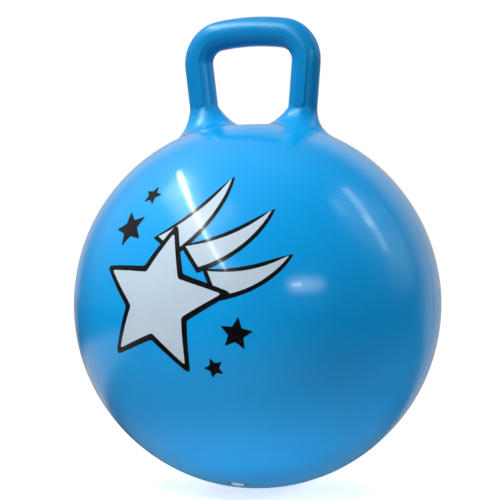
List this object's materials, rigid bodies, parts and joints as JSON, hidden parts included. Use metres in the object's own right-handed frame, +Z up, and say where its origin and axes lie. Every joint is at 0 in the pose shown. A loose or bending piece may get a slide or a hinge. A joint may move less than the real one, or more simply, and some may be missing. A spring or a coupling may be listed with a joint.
{
  "type": "hopper ball",
  "caption": "Inflated hopper ball with a hollow D-loop handle on flared roots, raised grip strips, a flattened crown and a push-in valve plug in a sunk cup near its underside.",
  "frame": {"origin": "middle of the flat that the ball presses on the floor", "axes": "+Z up through the ball and the handle's bar, +X along the bar, and the front with the valve towards -Y"},
  "size_m": [0.45, 0.45, 0.5741],
  "materials": {
    "ball_vinyl": "glossy soft vinyl, blue all through",
    "seat_vinyl": "glossy soft vinyl, a little translucent",
    "plug_plastic": "semi-matt white plastic"
  },
  "bodies": {
    "ball": {"ball_shell": "ball_vinyl", "handle": "ball_vinyl", "valve_seat": "seat_vinyl"},
    "plug": {"valve_plug": "plug_plastic"}
  },
  "joints": [
    {"name": "plug_pull", "type": "slide", "parent": "ball", "child": "plug", "axis": [0, -0.342, -0.9397], "range_m": [0, 0.03]}
  ]
}
